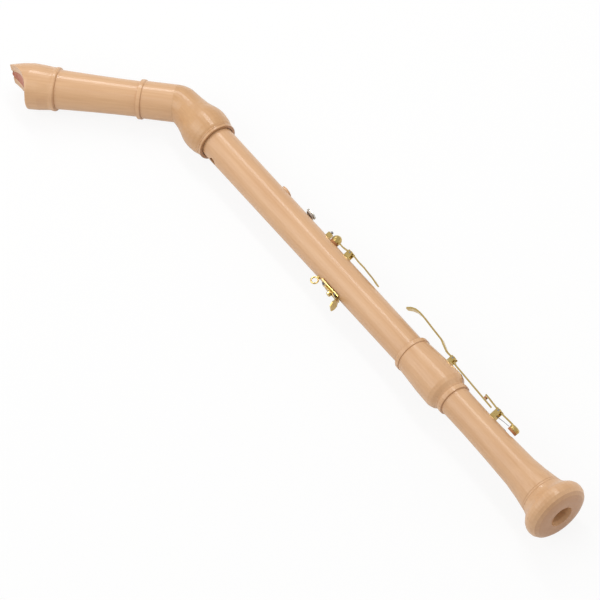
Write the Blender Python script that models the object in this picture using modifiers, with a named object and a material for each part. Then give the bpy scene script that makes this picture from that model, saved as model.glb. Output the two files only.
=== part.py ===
"""Bass recorder: bent knee head, middle joint and foot, with keys, thumb rest and sling ring.

Lengths are millimetres. A station runs along the main bore, from the knee's open face toward
the bell. Up the head, distances run from the bend. The front, with the finger holes, is +Y.
"""
import math

import bmesh
import bpy
from mathutils import Matrix, Vector

MM = 0.001
FACETS = 44
SMALL_FACETS = 20
FIT = 0.1
RUNNING = 0.06

# Head and knee
BEND_STATION = -73.3
BEND_ANGLE = 41.56
SEAM = 7.7
HEAD_TIP = 218.0
HEAD_BORE = 14.75
HEAD_TENON_START = 27.0
HEAD_TENON = 17.6
CORK_CLEARANCE = 0.3
CORK_PROUD = 0.2
HEAD_SOCKET = HEAD_TENON + CORK_PROUD + CORK_CLEARANCE + 0.1
KNEE_FACE = 52.7
KNEE_BORE = 14.4
KNEE_RADIUS = 22.85
WINDOW_LOW = 144.0
WINDOW_HIGH = 153.0
WINDOW_WIDTH = 17.0
RAMP_END = 112.0
WINDWAY_HEIGHT = 1.7
CHIN_RADIUS = 42.0
CHIN_AT = (232.3, -24.9)

# Widest places, which rest on the floor: station or distance up the head, and radius
HEAD_SWELL = (189.0, 28.2)
KNEE_SWELL = (-26.0, 29.1)
BELL_RIM = (647.0, 38.5)

# Main joints
TENON_LENGTH = 33.0
UPPER_TENON = 18.1
UPPER_SOCKET = UPPER_TENON + CORK_PROUD + CORK_CLEARANCE
MIDDLE_TOP = 21.0
MOUTH_RECESS = MIDDLE_TOP + 1.2
MIDDLE_LOW = 19.65
FOOT_FACE = 383.5
LOWER_TENON = 16.9
LOWER_SOCKET = LOWER_TENON + CORK_PROUD + CORK_CLEARANCE
CORK_DEPTH = 1.6
MIDDLE_BORE_TOP = 14.2
MIDDLE_BORE_LOW = 12.0
FOOT_BORE = 11.9
FOOT_END = 659.0

# Finger holes: station and radius
FRONT_HOLES = {"one": (52.0, 4.5), "two": (112.0, 4.5), "three": (156.0, 5.0),
               "five": (318.0, 4.5), "six": (352.0, 4.0)}
THUMB_HOLE = (18.7, 5.0)
BUSH_RADIUS = 8.0
BUSH_TOP = 22.3

# Keys
KEY_ANGLE = 16.6
RIGHT_HOLE = (209.3, 4.2)
RIGHT_SEAT = 19.4
RIGHT_PIVOT = (235.0, 26.6)
FOOT_HOLE = (542.0, 5.0)
FOOT_SEAT = 18.7
TOUCH_PIVOT = (425.8, 30.9)
PAD_PIVOT = (513.0, 28.5)
PIN = 1.1
BARREL = PIN + 1.3
SLOT_HALF = 3.2
LEFT_ANGLE = -48.0
LEFT_HINGE = 25.5
LEFT_ROD = 1.0

# Thumb rest
REST_PLATE = (240.6, 272.0)
REST_FLOOR = 20.3
REST_PLATE_TOP = 21.6
CLAMP_STATION = 259.0
RING_STATION = 233.0
RING_HEIGHT = 26.6
RING_MAJOR = 4.3
RING_WIRE = 1.0


def new_collection(name):
    made = bpy.data.collections.new(name)
    bpy.context.scene.collection.children.link(made)
    return made


def material(name, colour, metallic, roughness):
    made = bpy.data.materials.new(name)
    made.use_nodes = True
    shader = made.node_tree.nodes["Principled BSDF"]
    shader.inputs["Base Color"].default_value = (*colour, 1.0)
    shader.inputs["Metallic"].default_value = metallic
    shader.inputs["Roughness"].default_value = roughness
    return made


def empty(name, parent=None, at=(0.0, 0.0, 0.0), turn=(0.0, 0.0, 0.0)):
    made = bpy.data.objects.new(name, None)
    made.empty_display_size = 0.01
    made.location = [MM * value for value in at]
    made.rotation_euler = [math.radians(value) for value in turn]
    made.parent = parent
    part_pieces.objects.link(made)
    return made


def finish_mesh(name, bm, parent, colour):
    """Store a bmesh as a piece, or as a cutter where it has no material."""
    bmesh.ops.scale(bm, vec=(MM, MM, MM), verts=bm.verts)
    mesh = bpy.data.meshes.new(name)
    bm.to_mesh(mesh)
    bm.free()
    made = bpy.data.objects.new(name, mesh)
    made.parent = parent
    if colour is None:
        cutters.objects.link(made)
        made.hide_render = True
        made.display_type = "WIRE"
    else:
        part_pieces.objects.link(made)
        made.data.materials.append(colour)
    return made


def turned(name, outer, bore, parent, colour=None, axis="X", at=0.0):
    """Turn an outline of (station, radius) about X, or about Z at a station."""
    if bore is None:
        path = [(outer[-1][0], 0.0)] + outer[::-1] + [(outer[0][0], 0.0)]
    else:
        path = outer[::-1] + bore
    bm = bmesh.new()
    if axis == "X":
        verts = [bm.verts.new((station, radius, 0.0)) for station, radius in path]
    else:
        verts = [bm.verts.new((radius, 0.0, station)) for station, radius in path]
    ends = verts if bore is None else verts + verts[:1]
    for first, second in zip(ends, ends[1:]):
        bm.edges.new((first, second))
    made = finish_mesh(name, bm, parent, colour)
    made.location.x = MM * at
    screw = made.modifiers.new("Turn", "SCREW")
    screw.axis = axis
    screw.angle = math.tau
    screw.steps = FACETS if axis == "X" else SMALL_FACETS
    screw.render_steps = screw.steps
    screw.use_merge_vertices = True
    screw.merge_threshold = 0.00001
    return made


def up_the_head(outline):
    """Turn distances up the head into stations of the head's frame."""
    return [(-distance, radius) for distance, radius in reversed(outline)]


def bar(name, radius, low, high, parent, colour=None, along="Z", at=(0.0, 0.0), stretch=1.0):
    """Round bar along one axis; at gives its place on the other two."""
    bm = bmesh.new()
    facets = FACETS if radius > 10 else SMALL_FACETS
    bmesh.ops.create_cone(bm, cap_ends=True, segments=facets, radius1=radius, radius2=radius,
                          depth=high - low)
    middle = (low + high) / 2
    if along == "Z":
        place = Matrix.Translation((at[0], at[1], middle))
    elif along == "Y":
        place = Matrix.Translation((at[0], middle, at[1])) @ Matrix.Rotation(math.pi / 2, 4, "X")
    else:
        place = Matrix.Translation((middle, at[0], at[1])) @ Matrix.Rotation(math.pi / 2, 4, "Y")
    bmesh.ops.scale(bm, vec=(1.0, stretch, 1.0), verts=bm.verts)
    bmesh.ops.transform(bm, matrix=place, verts=bm.verts)
    return finish_mesh(name, bm, parent, colour)


def box(name, low, high, parent, colour=None):
    bm = bmesh.new()
    bmesh.ops.create_cube(bm, size=1.0)
    bmesh.ops.scale(bm, vec=[b - a for a, b in zip(low, high)], verts=bm.verts)
    bmesh.ops.translate(bm, vec=[(a + b) / 2 for a, b in zip(low, high)], verts=bm.verts)
    return finish_mesh(name, bm, parent, colour)


def prism(name, outline, half, parent):
    """Cutter with an outline in the X-Y plane, as deep as half on either side."""
    bm = bmesh.new()
    face = bm.faces.new([bm.verts.new((x, y, -half)) for x, y in outline])
    grown = bmesh.ops.extrude_face_region(bm, geom=[face])["geom"]
    moved = [item for item in grown if isinstance(item, bmesh.types.BMVert)]
    bmesh.ops.translate(bm, vec=(0.0, 0.0, 2 * half), verts=moved)
    bmesh.ops.recalc_face_normals(bm, faces=bm.faces)
    return finish_mesh(name, bm, parent, None)


def loft(name, rings, parent, colour=None):
    """Skin rings given as (front point, back point, half depth), closed at both ends."""
    bm = bmesh.new()
    rows = []
    for front, back, depth in rings:
        front, back = Vector(front), Vector(back)
        middle, reach = (front + back) / 2, (front - back) / 2
        row = []
        for step in range(FACETS):
            angle = math.tau * step / FACETS
            place = middle + reach * math.cos(angle)
            row.append(bm.verts.new((place.x, place.y, depth * math.sin(angle))))
        rows.append(row)
    for first, second in zip(rows, rows[1:]):
        for step in range(FACETS):
            following = (step + 1) % FACETS
            bm.faces.new((first[step], first[following], second[following], second[step]))
    bm.faces.new(rows[0])
    bm.faces.new(rows[-1])
    bmesh.ops.recalc_face_normals(bm, faces=bm.faces)
    return finish_mesh(name, bm, parent, colour)


def strap(name, path, widths, thickness, parent, colour=None):
    """Bent metal strip along (station, height) points, thickened both ways."""
    bm = bmesh.new()
    rows = []
    for (station, height), width in zip(path, widths):
        rows.append([bm.verts.new((station, width * side / 2, height)) for side in (-1, 0, 1)])
    for first, second in zip(rows, rows[1:]):
        for side in (0, 1):
            bm.faces.new((first[side], second[side], second[side + 1], first[side + 1]))
    made = finish_mesh(name, bm, parent, colour)
    solid = made.modifiers.new("Thickness", "SOLIDIFY")
    solid.thickness = MM * thickness
    solid.offset = 0.0
    solid.use_even_offset = True
    return made


def combine(target, other, operation="DIFFERENCE"):
    step = target.modifiers.new(other.name, "BOOLEAN")
    step.operation = operation
    step.solver = "EXACT"
    step.object = other


def radius_at(outline, station):
    """Radius of a turned outline at a station."""
    for (low, r_low), (high, r_high) in zip(outline, outline[1:]):
        if low <= station < high:
            return r_low + (r_high - r_low) * (station - low) / (high - low)
    raise ValueError(f"station {station} is off the outline")


def saddle(name, plane, ends, half, top, wood, floor, pivot):
    """Forked post whose foot follows the wood, drilled for its hinge pin."""
    made = box(name, (ends[0], -half, wood - 6.0), (ends[1], half, top), plane, BRASS)
    combine(made, bar(f"{name}_foot_cut", wood + FIT, ends[0] - 5, ends[1] + 5, plane, along="X"))
    combine(made, box(f"{name}_fork_cut", (ends[0] - 5, -SLOT_HALF, floor),
                      (ends[1] + 5, SLOT_HALF, top + 5), plane))
    combine(made, bar(f"{name}_pin_cut", PIN + RUNNING, -half - 2, half + 2, plane, along="Y",
                      at=pivot))
    return made


def hinge(name, plane, pivot):
    """Empty on a lever's axis, and a child of it in the plane's own measure."""
    axis = empty(f"{name}_axis", plane, (pivot[0], 0.0, pivot[1]))
    return empty(f"{name}_frame", axis, (-pivot[0], 0.0, -pivot[1]))


def drill_pivot(lever, name, frame, pivot):
    """Join a barrel to a lever and bore it for the pin."""
    reach = SLOT_HALF - 0.2
    combine(lever, bar(f"{name}_barrel", BARREL, -reach, reach, frame, along="Y", at=pivot),
            "UNION")
    combine(lever, bar(f"{name}_bore", PIN + RUNNING, -reach - 3, reach + 3, frame, along="Y",
                       at=pivot))


def knee_rings():
    """Sections of the knee's lower half, from the seam round the bend to its open face."""
    turn = math.radians(BEND_ANGLE)
    along = Vector((math.cos(turn), math.sin(turn)))
    across = Vector((-along.y, along.x))
    seam = Vector((BEND_STATION, 0.0)) - along * SEAM
    start, inner_start = seam + across * KNEE_RADIUS, seam - across * KNEE_RADIUS
    control, end = Vector((-84.3, 20.8)), Vector((-72.0, 21.3))
    inner_end = Vector((-60.5, -22.5))
    rings = []
    for step in range(9):
        t = step / 8
        front = start * (1 - t) ** 2 + control * 2 * t * (1 - t) + end * t ** 2
        back = inner_start.lerp(inner_end, t)
        rings.append((front, back, KNEE_RADIUS - 0.45 * t))
    swell = [(-58, 22.6), (-50, 23.6), (-42, 25.5), (-35, 27.7), (-31, 28.6), KNEE_SWELL,
             (-21, 29.0), (-14, 28.2), (-8, 26.4), (-5.4, 25.0), (-5.0, 25.6), (-3.8, 25.6),
             (-3.6, 25.2), (-3.3, 25.6), (-0.4, 25.6), (0.0, 25.1)]
    return rings + [((x, r), (x, -r), r) for x, r in swell]


def bore_rings():
    """Sections of the bent bore, a plain arc between two straight runs."""
    half_turn = math.radians(BEND_ANGLE) / 2
    fillet = 30.0
    tangent = fillet * math.tan(half_turn)
    centre = Vector((BEND_STATION + tangent, -fillet))
    rings = []
    far = Vector((math.cos(2 * half_turn), math.sin(2 * half_turn)))
    across = Vector((-far.y, far.x))
    away = Vector((BEND_STATION, 0.0)) - far * 25.0
    rings.append((away + across * KNEE_BORE, away - across * KNEE_BORE, KNEE_BORE))
    for step in range(7):
        angle = 2 * half_turn * (1 - step / 6)
        out = Vector((-math.sin(angle), math.cos(angle)))
        middle = centre + out * fillet
        rings.append((middle + out * KNEE_BORE, middle - out * KNEE_BORE, KNEE_BORE))
    rings.append(((-30.0, KNEE_BORE), (-30.0, -KNEE_BORE), KNEE_BORE))
    return rings


def make_head(head):
    """Head joint, block and cork."""
    outline = [(HEAD_TENON_START, HEAD_TENON), (30, HEAD_TENON), (30, HEAD_TENON - 1.2),
               (49, HEAD_TENON - 1.2), (49, HEAD_TENON), (KNEE_FACE + 0.3, HEAD_TENON),
               (KNEE_FACE + 0.3, 21.4), (54, 21.6), (80, 21.9), (110, 22.6), (135, 23.4),
               (154.6, 24.1), (155.2, 26.2), (156.5, 26.9), (159.5, 26.9), (160.8, 26.2),
               (163, 26.2), (176, 27.6), HEAD_SWELL, (202, 26.8), (212, 24.9), (HEAD_TIP, 23.6)]
    bore = [(HEAD_TIP, HEAD_BORE), (HEAD_TENON_START, HEAD_BORE)]
    top = turned("head_top", up_the_head(outline), [(-d, r) for d, r in bore], head, MAPLE)
    block = turned("block", up_the_head([(WINDOW_HIGH, HEAD_BORE - FIT),
                                         (HEAD_TIP, HEAD_BORE - FIT)]), None, head, CEDAR)
    chin = bar("chin_cut", CHIN_RADIUS, -40, 40, head, at=(-CHIN_AT[0], CHIN_AT[1]))
    combine(top, chin)
    combine(block, chin)
    window = [(-WINDOW_HIGH, HEAD_BORE - 3), (-WINDOW_HIGH, 40.0), (-RAMP_END, 40.0),
              (-RAMP_END, 23.3), (-WINDOW_LOW, HEAD_BORE + 0.5), (-WINDOW_LOW, HEAD_BORE - 3)]
    combine(top, prism("window_cut", window, WINDOW_WIDTH / 2, head))
    combine(top, box("windway_cut", (-HEAD_TIP - 5, 11.0, -WINDOW_WIDTH / 2 + 0.5),
                     (-WINDOW_HIGH + 2, HEAD_BORE + WINDWAY_HEIGHT, WINDOW_WIDTH / 2 - 0.5),
                     head))
    cork = [(30.2, HEAD_TENON + CORK_PROUD), (48.8, HEAD_TENON + CORK_PROUD)]
    lining = [(-48.8, HEAD_TENON - 1.1), (-30.2, HEAD_TENON - 1.1)]
    turned("head_tenon_cork", up_the_head(cork), lining, head, CORK)


def make_knee(knee, knee_head):
    """Knee in two glued halves, with its socket rings."""
    outline = [(SEAM + 0.05, KNEE_RADIUS), (46.8, KNEE_RADIUS), (47.4, 24.0), (48.2, 24.4),
               (52.0, 24.4), (KNEE_FACE, 23.9)]
    floor = HEAD_TENON_START - 0.5
    bore = [(KNEE_FACE, HEAD_SOCKET), (floor, HEAD_SOCKET), (floor, KNEE_BORE),
            (SEAM + 0.05, KNEE_BORE)]
    turned("elbow_upper", up_the_head(outline), [(-d, r) for d, r in bore], knee_head, MAPLE)
    lower = loft("elbow_lower", knee_rings(), knee, MAPLE)
    combine(lower, loft("knee_bore_cut", bore_rings(), knee))
    combine(lower, bar("knee_socket_cut", UPPER_SOCKET, -TENON_LENGTH - 3, 5, knee, along="X"))
    combine(lower, bar("knee_mouth_cut", MOUTH_RECESS, -2.3, 5, knee, along="X"))


def make_middle(main, front, key_plane, back):
    """Middle joint with its holes and pad seats, corks and bush."""
    start = FOOT_FACE - 0.3
    outline = [(-TENON_LENGTH, UPPER_TENON), (-30, UPPER_TENON),
               (-30, UPPER_TENON - CORK_DEPTH), (-5, UPPER_TENON - CORK_DEPTH),
               (-5, UPPER_TENON), (-2, UPPER_TENON), (-2, MIDDLE_TOP), (300, 19.9),
               (start, MIDDLE_LOW), (start, LOWER_TENON), (388, LOWER_TENON),
               (388, LOWER_TENON - CORK_DEPTH), (412, LOWER_TENON - CORK_DEPTH),
               (412, LOWER_TENON), (start + TENON_LENGTH, LOWER_TENON)]
    bore = [(-TENON_LENGTH, MIDDLE_BORE_TOP), (start + TENON_LENGTH, MIDDLE_BORE_LOW)]
    middle = turned("middle_joint", outline, bore, main, MAPLE)
    for name, (station, radius) in FRONT_HOLES.items():
        combine(middle, bar(f"hole_{name}_cut", radius, 8, 30, front, at=(station, 0)))
    combine(middle, bar("thumb_hole_cut", THUMB_HOLE[1], 8, 30, back, at=(THUMB_HOLE[0], 0)))
    combine(middle, bar("hole_four_cut", RIGHT_HOLE[1], 8, 30, key_plane, at=(RIGHT_HOLE[0], 0)))
    combine(middle, bar("right_seat_cut", 7.2, RIGHT_SEAT, 30, key_plane, at=(RIGHT_HOLE[0], 0)))
    combine(middle, bar("left_seat_cut", 8.0, 19.9, 30, front, at=(FRONT_HOLES["three"][0], 0)))
    combine(middle, bar("bush_seat_cut", BUSH_RADIUS + FIT, 18.8, 30, front,
                        at=(FRONT_HOLES["two"][0], 0)))
    for name, (station, side) in REST_SCREWS.items():
        combine(middle, bar(f"{name}_wood_cut", 1.1, 15.5, 30, back, at=(station, side)))
    combine(middle, bar("ring_wood_cut", 1.6, 16.0, 30, back, at=(RING_STATION, 0)))
    turned("upper_tenon_cork", [(-29.8, UPPER_TENON + CORK_PROUD), (-5.2, UPPER_TENON + CORK_PROUD)],
           [(-29.8, UPPER_TENON - CORK_DEPTH + FIT), (-5.2, UPPER_TENON - CORK_DEPTH + FIT)],
           main, CORK)
    turned("lower_tenon_cork", [(388.2, LOWER_TENON + CORK_PROUD), (411.8, LOWER_TENON + CORK_PROUD)],
           [(388.2, LOWER_TENON - CORK_DEPTH + FIT), (411.8, LOWER_TENON - CORK_DEPTH + FIT)],
           main, CORK)
    hole = FRONT_HOLES["two"][1]
    turned("hole_two_bush", [(18.9, BUSH_RADIUS), (21.8, BUSH_RADIUS), (BUSH_TOP, 7.4)],
           [(18.9, hole), (BUSH_TOP - 0.5, hole), (BUSH_TOP, hole + 0.5)],
           front, MAPLE, axis="Z", at=FRONT_HOLES["two"][0])
    return outline


def make_foot(foot, key_plane):
    """Foot joint with its bell."""
    outline = [(FOOT_FACE, 23.0), (384.1, 23.3), (388.5, 23.3), (389.2, 22.2), (390, 22.4),
               (405, 23.5), (425, 25.0), (441, 25.5), (447, 25.5), (452, 24.0), (456.5, 20.5),
               (459.2, 19.6), (459.7, 20.8), (462.6, 21.1), (465.5, 20.8), (466.3, 18.9),
               (503, 18.7), (545, 19.5), (585, 20.9), (605, 23.2), (621.6, 26.0), (622.0, 25.7),
               (622.4, 26.2), (624.6, 26.6), (625.0, 26.3), (625.4, 26.8), (629, 28.0),
               (632, 29.5), (636, 33.0), (639.5, 36.3), (643, 38.0), BELL_RIM, (651, 37.8),
               (655, 35.2), (657.5, 31.0), (658.5, 27.0), (FOOT_END, 22.0)]
    floor = FOOT_FACE - 0.3 + TENON_LENGTH + 0.5
    bore = [(FOOT_FACE, LOWER_SOCKET), (floor, LOWER_SOCKET), (floor, FOOT_BORE), (600, 10.9),
            (654, 12.8), (FOOT_END, 14.0)]
    made = turned("foot_joint", outline, bore, foot, MAPLE)
    combine(made, bar("hole_seven_cut", FOOT_HOLE[1], 7, 30, key_plane, at=(FOOT_HOLE[0], 0)))
    combine(made, bar("foot_seat_cut", 8.0, FOOT_SEAT, 30, key_plane, at=(FOOT_HOLE[0], 0)))
    return outline


def make_right_key(plane, wood_outline):
    """Rocking key of the right hand, with its saddle and stop."""
    wood = radius_at(wood_outline, 231.0)
    saddle("right_key_saddle", plane, (231.5, 238.5), 4.5, 28.6, wood, 21.8, RIGHT_PIVOT)
    bar("right_key_pin", PIN, -4.5, 4.5, plane, STEEL, along="Y", at=RIGHT_PIVOT)
    frame = hinge("right_key", plane, RIGHT_PIVOT)
    path = [(213, 25), (222, 24.6), (229, 25.8), (235, 26.8), (243, 27.0), (251, 26.4),
            (262, 26.6), (272, 25.8), (281, 25.4), (290, 24.0)]
    lever = strap("right_key_lever", path, [5, 5, 5, 5, 5, 6, 6.5, 9, 11.5, 8], 1.8, frame, BRASS)
    cup = [(22.2, 6.0), (24.5, 6.2), (27.5, 5.6), (29.8, 3.8), (31.0, 1.4)]
    combine(lever, turned("right_cup", cup, None, frame, axis="Z", at=RIGHT_HOLE[0]), "UNION")
    drill_pivot(lever, "right_key", frame, RIGHT_PIVOT)
    bar("right_key_pad", 5.8, RIGHT_SEAT + 0.15, 22.1, frame, LEATHER, at=(RIGHT_HOLE[0], 0))
    post = box("right_key_stop", (194.5, -2.5, 14.0), (200.5, 2.5, 25.6), plane, BRASS)
    combine(post, bar("right_stop_foot_cut", radius_at(wood_outline, 194.0) + FIT, 185, 210,
                      plane, along="X"))
    combine(post, bar("right_stop_hole_cut", 1.0, 22.0, 30, plane, at=(197.5, 0)))
    head = [(22.2, 0.9), (25.8, 0.9), (25.8, 1.5), (26.6, 2.0), (27.6, 1.8), (28.3, 0.9)]
    turned("right_stop_screw", head, None, plane, STEEL, axis="Z", at=197.5)


def make_foot_keys(plane, wood_outline):
    """Touch of the little finger, and the pad lever that it works."""
    saddle("foot_touch_saddle", plane, (422.6, 429), 4.5, 32.9, radius_at(wood_outline, 429.0),
           26.6, TOUCH_PIVOT)
    bar("foot_touch_pin", PIN, -4.5, 4.5, plane, STEEL, along="Y", at=TOUCH_PIVOT)
    frame = hinge("foot_touch", plane, TOUCH_PIVOT)
    path = [(338, 31), (343, 35), (349, 37.6), (356, 38.5), (364, 38.3), (379, 37), (393, 36),
            (399, 35.6), (405, 33.4), (414, 30.6), TOUCH_PIVOT, (433, 27.6), (502, 24.8)]
    widths = [7, 10, 12.5, 13, 13, 12, 10.5, 9, 7.5, 5.8, 5, 5, 4.4]
    lever = strap("foot_touch_lever", path, widths, 2.0, frame, BRASS)
    drill_pivot(lever, "foot_touch", frame, TOUCH_PIVOT)
    saddle("foot_pad_saddle", plane, (509.6, 516.4), 4.5, 30.5, radius_at(wood_outline, 516.4),
           22.0, PAD_PIVOT)
    bar("foot_pad_pin", PIN, -4.5, 4.5, plane, STEEL, along="Y", at=PAD_PIVOT)
    strap("foot_pad_spring", [(510, 22.4), (517, 22.6), (526, 24.2), (534, 24.9)],
          [3, 3, 2.6, 2.2], 0.5, plane, STEEL)
    frame = hinge("foot_pad", plane, PAD_PIVOT)
    path = [(487, 30.2), (493, 30.0), (503, 29.2), PAD_PIVOT, (521, 28.8), (530, 29.2), (538, 29.4)]
    lever = strap("foot_pad_lever", path, [5, 5, 4.6, 5, 5, 5, 5], 2.0, frame, BRASS)
    cup = [(25.4, 6.3), (28.4, 6.5), (30.2, 5.0), (30.9, 2.2)]
    combine(lever, turned("foot_cup", cup, None, frame, axis="Z", at=FOOT_HOLE[0]), "UNION")
    drill_pivot(lever, "foot_pad", frame, PAD_PIVOT)
    bar("foot_pad_leather", 6.1, 22.4, 25.3, frame, LEATHER, at=(FOOT_HOLE[0], 0))
    box("foot_pad_bumper", (487.5, -2.0, 26.5), (490.5, 2.0, 28.95), frame, LEATHER)


def make_left_key(main, wood_outline):
    """Plateau key over the third hole, on a rod along the joint."""
    plane = empty("left_hinge_plane", main, turn=(LEFT_ANGLE - 90, 0, 0))
    station = FRONT_HOLES["three"][0]
    for name, offset in {"left_post_upper": -12.2, "left_post_lower": 12.2}.items():
        middle = station + offset
        post = box(name, (middle - 2, -2.4, 14.0), (middle + 2, 2.4, 27.8), plane, BRASS)
        wood = radius_at(wood_outline, middle - 2.0) + FIT
        combine(post, bar(f"{name}_foot_cut", wood, middle - 5, middle + 5, plane, along="X"))
        combine(post, bar(f"{name}_rod_cut", LEFT_ROD + RUNNING, middle - 5, middle + 5, plane,
                          along="X", at=(0, LEFT_HINGE)))
    bar("left_key_rod", LEFT_ROD, station - 15, station + 15, plane, STEEL, along="X",
        at=(0, LEFT_HINGE))
    angle = math.radians(LEFT_ANGLE)
    out, side = LEFT_HINGE * math.cos(angle), LEFT_HINGE * math.sin(angle)
    frame = empty("left_key_axis", main, (station, out, side), (0, 0, 90))
    reach = -side
    path = [(0.8, 0.8), (2.5, 2.0), (5.9, 6.4), (7.9, 10.9), (8.2, 14.9), (8.2, reach)]
    lever = strap("left_key_lever", path, [6, 6, 5, 5, 6, 6], 1.2, frame, SILVER)
    combine(lever, bar("left_plate", 6.0, 7.45, 9.0, frame, along="X", at=(0, reach),
                       stretch=1.33), "UNION")
    combine(lever, bar("left_tube", 2.2, -9.8, 9.8, frame, along="Y"), "UNION")
    combine(lever, bar("left_tube_bore", LEFT_ROD + RUNNING, -13, 13, frame, along="Y"))
    bar("left_key_pad", 5.6, 22.4 - out, 7.35, frame, LEATHER, along="X", at=(0, reach))


def make_thumb_rest(back):
    """Adjustable thumb rest, its screws and the sling ring."""
    low, high = REST_PLATE
    plate = box("thumb_rest_plate", (low, -7.0, REST_FLOOR), (high, 7.0, REST_PLATE_TOP), back,
                BRASS)
    for name, (station, side) in REST_SCREWS.items():
        combine(plate, bar(f"{name}_plate_cut", 1.1, 18, 24, back, at=(station, side)))
        shape = [(16.0, 0.9), (REST_PLATE_TOP + FIT, 0.9), (REST_PLATE_TOP + FIT, 1.8),
                 (REST_PLATE_TOP + 0.8, 1.7), (REST_PLATE_TOP + 1.2, 1.0)]
        screw = turned(name, shape, None, back, STEEL, axis="Z", at=station)
        screw.location.y = MM * side
    combine(plate, bar("clamp_plate_cut", 1.4, 18, 24, back, at=(CLAMP_STATION, 0)))
    slide = empty("thumb_rest_axis", back, (CLAMP_STATION, 0, 0))
    path = [(249, 22.5), (268, 22.5), (272.4, 23.4), (274.2, 26.5), (275.0, 31.0), (276.2, 35.4)]
    path = [(station - CLAMP_STATION, height) for station, height in path]
    hook = strap("thumb_rest_hook", path, [6.4, 6.4, 9, 14.5, 16.5, 11], 1.6, slide, BRASS)
    combine(hook, box("clamp_slot_cut", (-3.9, -1.5, 20), (3.9, 1.5, 25), slide))
    shape = [(20.5, 1.3), (23.4, 1.3), (23.4, 2.9), (23.9, 3.1), (26.4, 3.1), (26.9, 2.7)]
    turned("thumb_rest_clamp", shape, None, back, BRASS, axis="Z", at=CLAMP_STATION)
    ring = turned("sling_ring", [(16.6, 1.45), (20.2, 1.45), (20.3, 2.6), (21.0, 2.6),
                                 (RING_HEIGHT - RING_MAJOR + 0.4, 1.1)], None, back, BRASS,
                  axis="Z", at=RING_STATION)
    bm = bmesh.new()
    circle = [Vector((RING_MAJOR + RING_WIRE * math.cos(math.tau * k / 10), 0.0,
                      RING_WIRE * math.sin(math.tau * k / 10))) for k in range(10)]
    verts = [bm.verts.new(point) for point in circle[::-1]]
    for first, second in zip(verts, verts[1:] + verts[:1]):
        bm.edges.new((first, second))
    eye = finish_mesh("ring_eye", bm, back, None)
    eye.location = (MM * RING_STATION, 0.0, MM * RING_HEIGHT)
    eye.rotation_euler.x = math.pi / 2
    screw = eye.modifiers.new("Turn", "SCREW")
    screw.axis = "Z"
    screw.steps = FACETS
    screw.render_steps = FACETS
    screw.use_merge_vertices = True
    screw.merge_threshold = 0.00001
    combine(ring, eye, "UNION")


def lie_down(root):
    """Tip the instrument so that its bell, knee and head all rest on the floor."""
    turn = math.radians(BEND_ANGLE)
    head_x = BEND_STATION - HEAD_SWELL[0] * math.cos(turn)
    head_y = -HEAD_SWELL[0] * math.sin(turn)
    pitch = (BELL_RIM[1] - KNEE_SWELL[1]) / (BELL_RIM[0] - KNEE_SWELL[0])
    level = BELL_RIM[1] - pitch * BELL_RIM[0]
    roll = (HEAD_SWELL[1] - level - pitch * head_x) / head_y
    root.rotation_euler = (math.asin(roll), -math.asin(pitch), 0.0)


def set_on_floor(root):
    """Move everything so that its lowest point is on the floor, centred on the origin."""
    bpy.context.view_layer.update()
    graph = bpy.context.evaluated_depsgraph_get()
    points = []
    for piece in part_pieces.objects:
        if piece.type == "MESH":
            shown = piece.evaluated_get(graph)
            points += [shown.matrix_world @ vertex.co for vertex in shown.data.vertices]
    low = [min(point[axis] for point in points) for axis in range(3)]
    high = [max(point[axis] for point in points) for axis in range(3)]
    root.location = (-(low[0] + high[0]) / 2, -(low[1] + high[1]) / 2, -low[2])
    bpy.context.view_layer.update()


REST_SCREWS = {"rest_screw_upper": (243.2, 0.0), "rest_screw_left": (266.0, 5.1),
               "rest_screw_right": (266.0, -5.1)}

for stale in list(bpy.data.objects):
    bpy.data.objects.remove(stale)
part_pieces = new_collection("bass_recorder")
cutters = new_collection("cutters")

MAPLE = material("maple", (0.76, 0.51, 0.28), 0.0, 0.42)
CEDAR = material("cedar", (0.43, 0.082, 0.026), 0.0, 0.6)
CORK = material("cork", (0.48, 0.30, 0.16), 0.0, 0.85)
BRASS = material("brass", (0.52, 0.38, 0.12), 1.0, 0.28)
SILVER = material("plated_brass", (0.66, 0.64, 0.58), 1.0, 0.25)
STEEL = material("steel", (0.32, 0.32, 0.33), 1.0, 0.35)
LEATHER = material("leather", (0.42, 0.17, 0.06), 0.0, 0.75)

root_frame = empty("recorder_root")
middle_frame = empty("middle_axis", root_frame)
knee_frame = empty("knee_axis", root_frame)
head_frame = empty("head_axis", knee_frame, (BEND_STATION, 0, 0), (0, 0, BEND_ANGLE))
foot_frame = empty("foot_axis", root_frame)
front_plane = empty("front_plane", middle_frame, turn=(-90, 0, 0))
right_plane = empty("right_key_plane", middle_frame, turn=(KEY_ANGLE - 90, 0, 0))
back_plane = empty("back_plane", middle_frame, turn=(90, 0, 0))
foot_plane = empty("foot_key_plane", foot_frame, turn=(KEY_ANGLE - 90, 0, 0))

make_head(head_frame)
make_knee(knee_frame, head_frame)
middle_outline = make_middle(middle_frame, front_plane, right_plane, back_plane)
foot_outline = make_foot(foot_frame, foot_plane)
make_right_key(right_plane, middle_outline)
make_foot_keys(foot_plane, foot_outline)
make_left_key(middle_frame, middle_outline)
make_thumb_rest(back_plane)
lie_down(root_frame)
set_on_floor(root_frame)
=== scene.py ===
"""Looks of the bass recorder: oiled maple, metal keys, leather pads and a plain pale stage."""
import math

import bpy
from mathutils import Euler, Matrix, Vector


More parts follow.
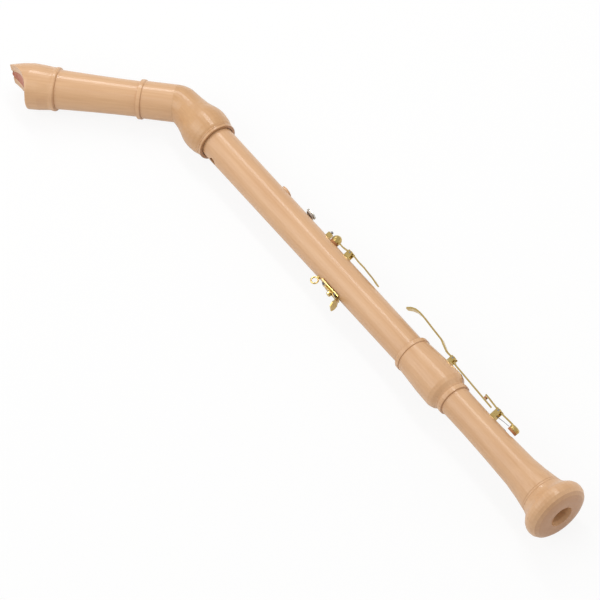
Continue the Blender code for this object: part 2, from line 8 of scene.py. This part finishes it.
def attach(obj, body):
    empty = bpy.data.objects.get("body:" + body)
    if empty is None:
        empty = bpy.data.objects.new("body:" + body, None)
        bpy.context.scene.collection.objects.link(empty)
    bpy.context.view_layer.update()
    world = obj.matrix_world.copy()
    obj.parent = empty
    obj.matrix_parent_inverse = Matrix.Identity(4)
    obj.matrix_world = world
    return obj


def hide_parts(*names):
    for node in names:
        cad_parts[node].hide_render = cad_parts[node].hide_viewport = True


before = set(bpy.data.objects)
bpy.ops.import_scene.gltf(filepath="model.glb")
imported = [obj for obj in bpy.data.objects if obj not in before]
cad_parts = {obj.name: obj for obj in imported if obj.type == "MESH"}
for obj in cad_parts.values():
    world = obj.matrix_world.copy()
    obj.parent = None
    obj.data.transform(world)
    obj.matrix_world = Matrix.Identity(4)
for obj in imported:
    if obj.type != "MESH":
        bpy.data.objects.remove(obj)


def write_size():
    """Bring the scene's placements up to date; no box is written."""
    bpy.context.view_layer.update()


write_size()

# The main bore's frame: X along the bore from the knee's face, Y to the finger holes
BORE_PLACE = (-0.2035829, 0.05379, 0.0294579)
BORE_TILT = (-0.0138454, -0.0139678, 0.0)
BEND_ANGLE = 41.56

# Camera, in the bore's frame
CAMERA_PLACE = (2.18513, -1.05734, 3.35100)
CAMERA_BACK = (0.48525685, -0.2503975, 0.83775109)
CAMERA_ROLL = 47.84
LENS = 207.66
SENSOR_WIDTH = 36.0
CLIP_END = 50.0
LOOK_AT = (0.2441, -0.0557, 0.0)

# Lamps: direction from the middle in the bore's frame, distance, power, length and width
STRIP_LAMP = ((-0.45, 0.397, 0.918), 2.3, 24.0, 2.8, 0.2)
FILL_LAMP = ((-0.35, -0.65, 0.68), 2.6, 24.0, 2.0, 2.0)
BELL_LAMP = ((0.80, 0.55, 0.25), 2.4, 7.0, 0.8, 0.8)
WORLD_COLOUR = (1.0, 0.985, 0.96, 1.0)
WORLD_STRENGTH = 0.62

# Floor, and how far it turns white for the camera and in reflections
FLOOR_SIZE = 14.0
FLOOR_COLOUR = (0.82, 0.82, 0.82, 1.0)
FLOOR_ROUGHNESS = 0.9
SEEN_WHITE = 0.88
MIRRORED_WHITE = 0.3
WHITE = (1.0, 1.0, 1.0, 1.0)

# Light and dark colour of each finish
MAPLE = ((0.72, 0.455, 0.255), (0.50, 0.255, 0.11))
KNEE_MAPLE = ((0.64, 0.385, 0.19), (0.46, 0.225, 0.09))
CEDAR = ((0.50, 0.13, 0.045), (0.30, 0.06, 0.02))
CORK = ((0.55, 0.36, 0.20), (0.34, 0.20, 0.10))
BRASS = ((0.82, 0.63, 0.27), (0.46, 0.30, 0.08))
PLATING = ((0.74, 0.73, 0.68), (0.58, 0.56, 0.50))
BLUED_STEEL = ((0.34, 0.34, 0.36), (0.16, 0.16, 0.18))
PALE_LEATHER = ((0.62, 0.56, 0.50), (0.44, 0.38, 0.33))
BROWN_LEATHER = ((0.50, 0.22, 0.08), (0.34, 0.12, 0.04))

# Grain along and across a piece, in repeats per metre
BROAD_GRAIN = (5.0, 60.0, 60.0)
STREAK_GRAIN = (14.0, 420.0, 420.0)
PORE_GRAIN = (160.0, 2600.0, 2600.0)
SCRATCH_GRAIN = (300.0, 2200.0, 2200.0)
EVEN_GRAIN = (1.0, 1.0, 1.0)
CLOUD_GRAIN = 140.0
CORK_GRAIN = 900.0
LEATHER_GRAIN = 1500.0

# Wood: share of each grain in the tone, roughness, varnish, and relief in metres
BROAD_SHARE, STREAK_SHARE, TONE_SHIFT = 0.55, 0.6, 0.12
WOOD_ROUGHNESS, KNEE_ROUGHNESS, CEDAR_ROUGHNESS = 0.38, 0.34, 0.6
PORE_ROUGHNESS, PORE_RELIEF = 0.12, 0.5
VARNISH, VARNISH_ROUGHNESS = 0.4, 0.2
WOOD_RELIEF = 0.00003

# Darker tone where a face looks along the bore, partly real end grain and partly painted shade,
# with the slope and start of its mask
END_GRAIN_AND_SHADE = (0.30, 0.12, 0.045)
END_TONE, END_SLOPE, END_START = 0.75, 2.2, 1.4

# Metal, cork and leather: roughness, how far it varies, and relief in metres
BRASS_ROUGHNESS, PLATING_ROUGHNESS, STEEL_ROUGHNESS, CLOUD_ROUGHNESS = 0.1, 0.18, 0.3, 0.16
SOFT_ROUGHNESS, SPOT_ROUGHNESS = 0.68, 0.2
METAL_RELIEF, CORK_RELIEF, LEATHER_RELIEF = 0.00002, 0.0002, 0.00012
BUMP_STRENGTH = 0.35

# Sockets of a Mix node that mixes colours
FIRST_COLOUR, SECOND_COLOUR, MIXED_COLOUR = 6, 7, 2

BODY_WOOD = ["middle_joint", "foot_joint", "hole_two_bush"]
HEAD_WOOD = ["head_top", "elbow_upper"]
CORKS = ["head_tenon_cork", "upper_tenon_cork", "lower_tenon_cork"]
GILT = ["right_key_saddle", "right_key_lever", "right_key_stop", "foot_touch_saddle",
        "foot_touch_lever", "foot_pad_saddle", "foot_pad_lever", "left_post_upper",
        "left_post_lower", "thumb_rest_plate", "thumb_rest_hook", "thumb_rest_clamp",
        "sling_ring"]
BLUED = ["right_key_pin", "right_stop_screw", "foot_touch_pin", "foot_pad_pin",
         "foot_pad_spring", "left_key_rod", "rest_screw_upper", "rest_screw_left",
         "rest_screw_right"]
PADS = {"foot_pad_leather": "foot_pad", "foot_pad_bumper": "foot_pad",
        "right_key_pad": "right_key", "left_key_pad": "left_key"}

bore_frame = Matrix.Translation(BORE_PLACE) @ Euler(BORE_TILT).to_matrix().to_4x4()


class Value:
    """A shader value whose arithmetic adds Math nodes."""

    def __init__(self, tree, output):
        self.tree = tree
        self.output = output

    def maths(self, operation, first, second):
        node = self.tree.nodes.new("ShaderNodeMath")
        node.operation = operation
        for entry, value in zip(node.inputs, (first, second)):
            if isinstance(value, Value):
                self.tree.links.new(value.output, entry)
            else:
                entry.default_value = value
        return Value(self.tree, node.outputs[0])

    def __add__(self, other):
        return self.maths("ADD", self, other)

    def __radd__(self, other):
        return self.maths("ADD", other, self)

    def __sub__(self, other):
        return self.maths("SUBTRACT", self, other)

    def __rsub__(self, other):
        return self.maths("SUBTRACT", other, self)

    def __mul__(self, other):
        return self.maths("MULTIPLY", self, other)

    def __rmul__(self, other):
        return self.maths("MULTIPLY", other, self)

    def __abs__(self):
        return self.maths("ABSOLUTE", self, 0.0)


class Finish:
    """A material on a Principled shader, with short ways to add nodes."""

    def __init__(self, name, metallic=0.0, coat=0.0):
        self.material = bpy.data.materials.new(name)
        self.material.use_nodes = True
        self.tree = self.material.node_tree
        self.shader = self.tree.nodes["Principled BSDF"]
        self.shader.inputs["Metallic"].default_value = metallic
        self.shader.inputs["Coat Weight"].default_value = coat
        self.shader.inputs["Coat Roughness"].default_value = VARNISH_ROUGHNESS

    def node(self, kind, settings, inputs, output=0):
        made = self.tree.nodes.new(kind)
        for name, value in settings.items():
            setattr(made, name, value)
        for name, value in inputs.items():
            self.feed(value, made.inputs[name])
        return Value(self.tree, made.outputs[output])

    def feed(self, value, entry):
        if isinstance(value, Value):
            self.tree.links.new(value.output, entry)
        else:
            entry.default_value = value

    def place(self, turn, scale):
        """Position on the object, turned about Z and then stretched."""
        where = self.node("ShaderNodeTexCoord", {}, {}, "Object")
        turned = self.node("ShaderNodeMapping", {}, {"Vector": where,
                                                     "Rotation": (0.0, 0.0, math.radians(turn))})
        return self.node("ShaderNodeMapping", {}, {"Vector": turned, "Scale": scale})

    def noise(self, where, scale, detail):
        return self.node("ShaderNodeTexNoise", {}, {"Vector": where, "Scale": scale,
                                                    "Detail": detail}, "Fac")

    def blend(self, mask, first, second):
        """Mix two colours, each a link or three numbers."""
        first, second = (colour if isinstance(colour, Value) else (*colour, 1.0)
                         for colour in (first, second))
        return self.node("ShaderNodeMix", {"data_type": "RGBA"},
                         {"Factor": mask, FIRST_COLOUR: first, SECOND_COLOUR: second},
                         MIXED_COLOUR)

    def end_grain_and_shade_mask(self):
        """One where the surface looks along the bore, none on the sides; it places the darker end
        grain and the painted shade of end faces.
        """
        normal = self.node("ShaderNodeTexCoord", {}, {}, "Normal")
        along = self.node("ShaderNodeSeparateXYZ", {}, {"Vector": normal}, "X")
        return self.node("ShaderNodeClamp", {}, {"Value": abs(along) * END_SLOPE - END_START})

    def surface(self, colour, roughness, height=None, depth=0.0):
        self.feed(colour, self.shader.inputs["Base Color"])
        self.feed(roughness, self.shader.inputs["Roughness"])
        if height is not None:
            normal = self.node("ShaderNodeBump", {}, {"Height": height, "Strength": BUMP_STRENGTH,
                                                      "Distance": depth})
            self.feed(normal, self.shader.inputs["Normal"])
        return self.material


def wood(name, colours, turn=0.0, roughness=WOOD_ROUGHNESS):
    """Wood with its grain along the piece, pores, slow changes of tone, and ends darkened by end
    grain and by painted shade.
    """
    finish = Finish(name, coat=VARNISH)
    broad = finish.noise(finish.place(turn, BROAD_GRAIN), 1.0, 3.0)
    streaks = finish.noise(finish.place(turn, STREAK_GRAIN), 1.0, 6.0)
    pores = finish.noise(finish.place(turn, PORE_GRAIN), 1.0, 2.0)
    mask = broad * BROAD_SHARE + streaks * STREAK_SHARE - TONE_SHIFT
    colour = finish.blend(mask, *colours)
    # Painted shade with real end grain: faces that look along the bore, such as the bell's face
    # and rounded rim, are darkened
    colour = finish.blend(finish.end_grain_and_shade_mask() * END_TONE, colour, END_GRAIN_AND_SHADE)
    return finish.surface(colour, roughness + PORE_ROUGHNESS * pores,
                          streaks + pores * PORE_RELIEF, WOOD_RELIEF)


def metal(name, colours, roughness):
    """Polished metal, a little cloudy from handling."""
    finish = Finish(name, metallic=1.0)
    cloud = finish.noise(finish.place(0.0, EVEN_GRAIN), CLOUD_GRAIN, 5.0)
    scratch = finish.noise(finish.place(0.0, SCRATCH_GRAIN), 1.0, 2.0)
    colour = finish.blend(cloud, *colours)
    return finish.surface(colour, roughness + CLOUD_ROUGHNESS * cloud, scratch, METAL_RELIEF)


def soft(name, colours, grain, depth):
    """Leather or cork, by the size of its grain."""
    finish = Finish(name)
    spots = finish.noise(finish.place(0.0, EVEN_GRAIN), grain, 5.0)
    return finish.surface(finish.blend(spots, *colours),
                          SOFT_ROUGHNESS + SPOT_ROUGHNESS * spots, spots, depth)


def give(names, material):
    for name in names:
        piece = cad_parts[name]
        piece.data.materials.clear()
        piece.data.materials.append(material)


def make_pad(node, body, material):
    """A leather pad with the shape of the plain solid that it stands for."""
    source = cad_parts[node]
    pad = bpy.data.objects.new(f"{node}_shape", source.data.copy())
    bpy.context.scene.collection.objects.link(pad)
    pad.matrix_world = source.matrix_world
    pad.data.materials.clear()
    pad.data.materials.append(material)
    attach(pad, body)
    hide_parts(node)


def make_camera():
    data = bpy.data.cameras.new("photo_camera")
    data.lens = LENS
    data.sensor_width = SENSOR_WIDTH
    data.clip_end = CLIP_END
    camera = bpy.data.objects.new("photo_camera", data)
    bpy.context.scene.collection.objects.link(camera)
    back = Vector(CAMERA_BACK).normalized()
    level = (Vector((1, 0, 0)) - back * back.x).normalized()
    rise = back.cross(level)
    roll = math.radians(CAMERA_ROLL)
    right = level * math.cos(roll) + rise * math.sin(roll)
    up = rise * math.cos(roll) - level * math.sin(roll)
    turn = Matrix((right, up, back)).transposed().to_4x4()
    camera.matrix_world = bore_frame @ Matrix.Translation(CAMERA_PLACE) @ turn
    bpy.context.scene.camera = camera


def make_lamp(name, way, distance, power, length, width):
    """Soft lamp, long along the bore, that faces the middle of the instrument."""
    data = bpy.data.lights.new(name, "AREA")
    data.shape = "RECTANGLE"
    data.energy = power
    data.size = length
    data.size_y = width
    lamp = bpy.data.objects.new(name, data)
    bpy.context.scene.collection.objects.link(lamp)
    back = Vector(way).normalized()
    along = (Vector((1, 0, 0)) - back * back.x).normalized()
    turn = Matrix((along, back.cross(along), back)).transposed().to_4x4()
    middle = Matrix.Translation(Vector(LOOK_AT) + back * distance)
    lamp.matrix_world = bore_frame @ middle @ turn


def make_floor():
    """Pale floor that shows white, with the object's shadow kept."""
    bpy.ops.mesh.primitive_plane_add(size=FLOOR_SIZE)
    floor = bpy.context.object
    floor.name = "floor"
    finish = Finish("pale_floor")
    finish.surface(FLOOR_COLOUR, FLOOR_ROUGHNESS)
    own = Value(finish.tree, finish.shader.outputs[0])
    glow = finish.node("ShaderNodeEmission", {}, {"Color": WHITE, "Strength": 1.0})
    seen = finish.node("ShaderNodeLightPath", {}, {}, "Is Camera Ray")
    mirrored = finish.node("ShaderNodeLightPath", {}, {}, "Is Glossy Ray")
    mixed = finish.node("ShaderNodeMixShader", {},
                        {0: seen * SEEN_WHITE + mirrored * MIRRORED_WHITE, 1: own, 2: glow})
    finish.feed(mixed, finish.tree.nodes["Material Output"].inputs["Surface"])
    floor.data.materials.append(finish.material)


def make_world():
    """Plain soft light from all sides."""
    world = bpy.data.worlds.new("studio")
    world.use_nodes = True
    shade = world.node_tree.nodes["Background"]
    shade.inputs["Color"].default_value = WORLD_COLOUR
    shade.inputs["Strength"].default_value = WORLD_STRENGTH
    bpy.context.scene.world = world
    bpy.context.scene.view_settings.view_transform = "Standard"


give(BODY_WOOD, wood("oiled_maple", MAPLE))
give(["elbow_lower"], wood("oiled_maple_knee", KNEE_MAPLE, 0.0, KNEE_ROUGHNESS))
give(HEAD_WOOD, wood("oiled_maple_head", MAPLE, -BEND_ANGLE))
give(["block"], wood("raw_cedar", CEDAR, -BEND_ANGLE, CEDAR_ROUGHNESS))
give(CORKS, soft("cork", CORK, CORK_GRAIN, CORK_RELIEF))
give(GILT, metal("polished_brass", BRASS, BRASS_ROUGHNESS))
give(["left_key_lever"], metal("plated_brass", PLATING, PLATING_ROUGHNESS))
give(BLUED, metal("blued_steel", BLUED_STEEL, STEEL_ROUGHNESS))
pale_leather = soft("pale_leather", PALE_LEATHER, LEATHER_GRAIN, LEATHER_RELIEF)
pad_leather = soft("pad_leather", BROWN_LEATHER, LEATHER_GRAIN, LEATHER_RELIEF)

for pad_node, pad_body in PADS.items():
    make_pad(pad_node, pad_body, pale_leather if pad_body == "left_key" else pad_leather)

make_camera()
make_lamp("strip_lamp", *STRIP_LAMP)
make_lamp("fill_lamp", *FILL_LAMP)
make_lamp("bell_lamp", *BELL_LAMP)
make_floor()
make_world()

write_size()
